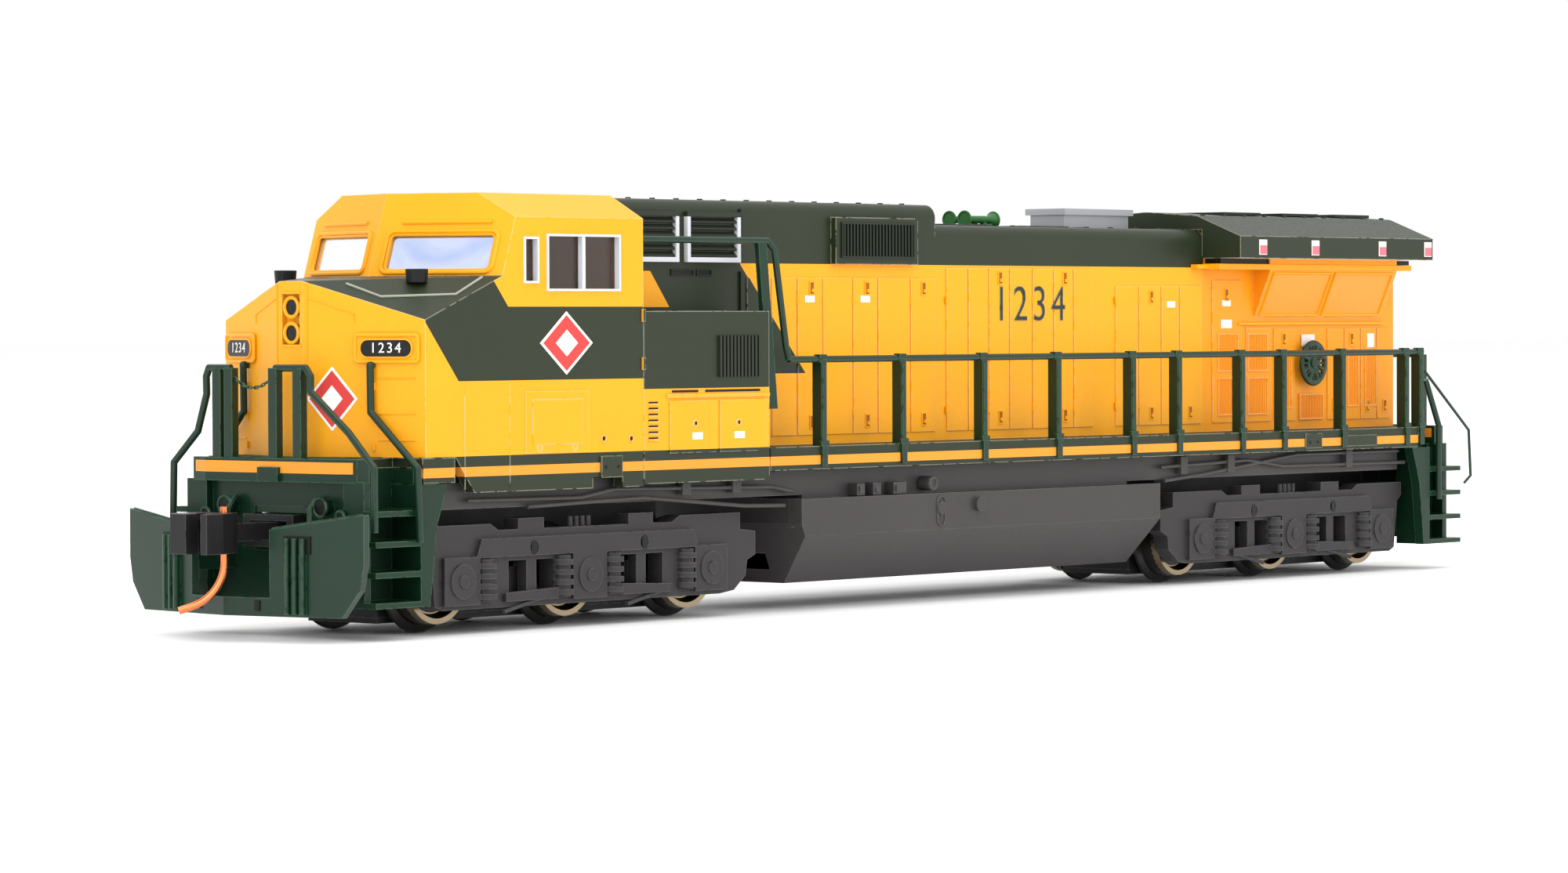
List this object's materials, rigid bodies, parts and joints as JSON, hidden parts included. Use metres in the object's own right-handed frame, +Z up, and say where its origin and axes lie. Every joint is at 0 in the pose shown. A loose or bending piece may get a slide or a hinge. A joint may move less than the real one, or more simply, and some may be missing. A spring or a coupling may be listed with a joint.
{
  "type": "model diesel locomotive",
  "caption": "Small-scale model road diesel with a wide cab, hooded body, geared trucks, swinging couplers and a snow plow.",
  "frame": {"origin": "bottom of the wheel flanges, midway along the locomotive on its centre line", "axes": "+X towards the rear, -X towards the nose, -Y the left side, +Z up"},
  "size_m": [0.1486, 0.0226, 0.0303],
  "materials": {
    "body_paint": "satin",
    "window_clear": "polished",
    "lamp_clear": "polished",
    "silver_trim": "satin",
    "black_board": "gloss",
    "green_plastic": "satin",
    "deck_paint": "satin",
    "black_plastic": "satin",
    "gearbox_plastic": "satin",
    "coupler_plastic": "matte",
    "cast_metal": "cast",
    "steel": "machined",
    "motor_can": "plated",
    "brass": "turned",
    "bronze": "satin",
    "circuit_board": "gloss",
    "copper_wire": "drawn",
    "wheel_metal": "turned",
    "gear_plastic": "satin"
  },
  "bodies": {
    "chassis": {"brake_wheel": "green_plastic", "cab_shell": "body_paint", "contact_strips": "bronze", "coupler_boxes": "black_plastic", "end_handrails": "green_plastic", "exhaust_stack": "silver_trim", "frame_left": "cast_metal", "frame_right": "cast_metal", "frame_screws": "steel", "fuel_tank": "black_plastic", "headlight_lenses": "lamp_clear", "hood_shell": "body_paint", "horns": "green_plastic", "intake_grilles": "silver_trim", "light_board": "circuit_board", "motor_case": "motor_can", "number_boards": "black_board", "radiator_roof": "body_paint", "side_handrails": "green_plastic", "snow_plow": "green_plastic", "walkway": "deck_paint", "window_frames": "silver_trim", "window_glass": "window_clear", "worm_bearings": "bronze", "front_pilot": "green_plastic", "rear_pilot": "green_plastic"},
    "motor_rotor": {"motor_rotor": "steel", "flywheels": "brass"},
    "front_truck": {"front_gearbox": "gearbox_plastic", "front_gearbox_cover": "gearbox_plastic", "front_sideframes": "black_plastic"},
    "front_worm_shaft": {"front_worm_shaft": "steel"},
    "front_worm_gear": {"front_worm_gear": "gear_plastic"},
    "front_inner_idler": {"front_inner_idler": "gear_plastic"},
    "front_outer_idler": {"front_outer_idler": "gear_plastic"},
    "front_wheels_1": {"front_wheels_1": "wheel_metal", "front_axle_gear_1": "gear_plastic"},
    "front_wheels_2": {"front_wheels_2": "wheel_metal", "front_axle_gear_2": "gear_plastic"},
    "front_wheels_3": {"front_wheels_3": "wheel_metal", "front_axle_gear_3": "gear_plastic"},
    "front_coupler": {"front_coupler": "coupler_plastic", "front_trip_pin": "copper_wire"},
    "front_knuckle": {"front_knuckle": "coupler_plastic"},
    "rear_truck": {"rear_gearbox": "gearbox_plastic", "rear_gearbox_cover": "gearbox_plastic", "rear_sideframes": "black_plastic"},
    "rear_worm_shaft": {"rear_worm_shaft": "steel"},
    "rear_worm_gear": {"rear_worm_gear": "gear_plastic"},
    "rear_inner_idler": {"rear_inner_idler": "gear_plastic"},
    "rear_outer_idler": {"rear_outer_idler": "gear_plastic"},
    "rear_wheels_1": {"rear_wheels_1": "wheel_metal", "rear_axle_gear_1": "gear_plastic"},
    "rear_wheels_2": {"rear_wheels_2": "wheel_metal", "rear_axle_gear_2": "gear_plastic"},
    "rear_wheels_3": {"rear_wheels_3": "wheel_metal", "rear_axle_gear_3": "gear_plastic"},
    "rear_coupler": {"rear_coupler": "coupler_plastic", "rear_trip_pin": "copper_wire"},
    "rear_knuckle": {"rear_knuckle": "coupler_plastic"}
  },
  "joints": [
    {"name": "motor_spin", "type": "hinge", "parent": "chassis", "child": "motor_rotor", "pos_m": [0, 0, 0.01572], "axis": [1, 0, 0], "continuous": true},
    {"name": "front_truck_swivel", "type": "hinge", "parent": "chassis", "child": "front_truck", "pos_m": [-0.04317, 0, 0.01572], "axis": [0, 0, 1], "range_deg": [-6.5, 6.5]},
    {"name": "front_worm_spin", "type": "hinge", "parent": "chassis", "child": "front_worm_shaft", "pos_m": [-0.04317, 0, 0.01572], "axis": [1, 0, 0], "continuous": true},
    {"name": "front_worm_gear_spin", "type": "hinge", "parent": "front_truck", "child": "front_worm_gear", "pos_m": [-0.04237, 0, 0.01172], "axis": [0, 1, 0], "continuous": true},
    {"name": "front_inner_idler_spin", "type": "hinge", "parent": "front_truck", "child": "front_inner_idler", "pos_m": [-0.0367, 0, 0.00681], "axis": [0, 1, 0], "continuous": true},
    {"name": "front_outer_idler_spin", "type": "hinge", "parent": "front_truck", "child": "front_outer_idler", "pos_m": [-0.04964, 0, 0.00681], "axis": [0, 1, 0], "continuous": true},
    {"name": "front_wheels_1_spin", "type": "hinge", "parent": "front_truck", "child": "front_wheels_1", "pos_m": [-0.05611, 0, 0.00365], "axis": [0, 1, 0], "continuous": true},
    {"name": "front_wheels_2_spin", "type": "hinge", "parent": "front_truck", "child": "front_wheels_2", "pos_m": [-0.04317, 0, 0.00365], "axis": [0, 1, 0], "continuous": true},
    {"name": "front_wheels_3_spin", "type": "hinge", "parent": "front_truck", "child": "front_wheels_3", "pos_m": [-0.03023, 0, 0.00365], "axis": [0, 1, 0], "continuous": true},
    {"name": "front_coupler_swing", "type": "hinge", "parent": "chassis", "child": "front_coupler", "pos_m": [-0.0635, 0, 0.0073], "axis": [0, 0, 1], "range_deg": [-10, 10]},
    {"name": "front_knuckle_open", "type": "hinge", "parent": "front_coupler", "child": "front_knuckle", "pos_m": [-0.0713, 0.00135, 0.0073], "axis": [0, 0, -1], "range_deg": [0, 25]},
    {"name": "rear_truck_swivel", "type": "hinge", "parent": "chassis", "child": "rear_truck", "pos_m": [0.04317, 0, 0.01572], "axis": [0, 0, 1], "range_deg": [-6.5, 6.5]},
    {"name": "rear_worm_spin", "type": "hinge", "parent": "chassis", "child": "rear_worm_shaft", "pos_m": [0.04317, 0, 0.01572], "axis": [1, 0, 0], "continuous": true},
    {"name": "rear_worm_gear_spin", "type": "hinge", "parent": "rear_truck", "child": "rear_worm_gear", "pos_m": [0.04237, 0, 0.01172], "axis": [0, 1, 0], "continuous": true},
    {"name": "rear_inner_idler_spin", "type": "hinge", "parent": "rear_truck", "child": "rear_inner_idler", "pos_m": [0.0367, 0, 0.00681], "axis": [0, 1, 0], "continuous": true},
    {"name": "rear_outer_idler_spin", "type": "hinge", "parent": "rear_truck", "child": "rear_outer_idler", "pos_m": [0.04964, 0, 0.00681], "axis": [0, 1, 0], "continuous": true},
    {"name": "rear_wheels_1_spin", "type": "hinge", "parent": "rear_truck", "child": "rear_wheels_1", "pos_m": [0.05611, 0, 0.00365], "axis": [0, 1, 0], "continuous": true},
    {"name": "rear_wheels_2_spin", "type": "hinge", "parent": "rear_truck", "child": "rear_wheels_2", "pos_m": [0.04317, 0, 0.00365], "axis": [0, 1, 0], "continuous": true},
    {"name": "rear_wheels_3_spin", "type": "hinge", "parent": "rear_truck", "child": "rear_wheels_3", "pos_m": [0.03023, 0, 0.00365], "axis": [0, 1, 0], "continuous": true},
    {"name": "rear_coupler_swing", "type": "hinge", "parent": "chassis", "child": "rear_coupler", "pos_m": [0.0635, 0, 0.0073], "axis": [0, 0, 1], "range_deg": [-10, 10]},
    {"name": "rear_knuckle_open", "type": "hinge", "parent": "rear_coupler", "child": "rear_knuckle", "pos_m": [0.0713, -0.00135, 0.0073], "axis": [0, 0, -1], "range_deg": [0, 25]}
  ],
  "couplings": [
    {"joint": "front_worm_spin", "follows": "motor_spin", "ratio": 1},
    {"joint": "front_worm_gear_spin", "follows": "motor_spin", "ratio": -0.0625},
    {"joint": "front_inner_idler_spin", "follows": "motor_spin", "ratio": 0.029412},
    {"joint": "front_outer_idler_spin", "follows": "motor_spin", "ratio": 0.029412},
    {"joint": "front_wheels_1_spin", "follows": "motor_spin", "ratio": -0.071429},
    {"joint": "front_wheels_2_spin", "follows": "motor_spin", "ratio": -0.071429},
    {"joint": "front_wheels_3_spin", "follows": "motor_spin", "ratio": -0.071429},
    {"joint": "rear_worm_spin", "follows": "motor_spin", "ratio": 1},
    {"joint": "rear_worm_gear_spin", "follows": "motor_spin", "ratio": -0.0625},
    {"joint": "rear_inner_idler_spin", "follows": "motor_spin", "ratio": 0.029412},
    {"joint": "rear_outer_idler_spin", "follows": "motor_spin", "ratio": 0.029412},
    {"joint": "rear_wheels_1_spin", "follows": "motor_spin", "ratio": -0.071429},
    {"joint": "rear_wheels_2_spin", "follows": "motor_spin", "ratio": -0.071429},
    {"joint": "rear_wheels_3_spin", "follows": "motor_spin", "ratio": -0.071429}
  ]
}
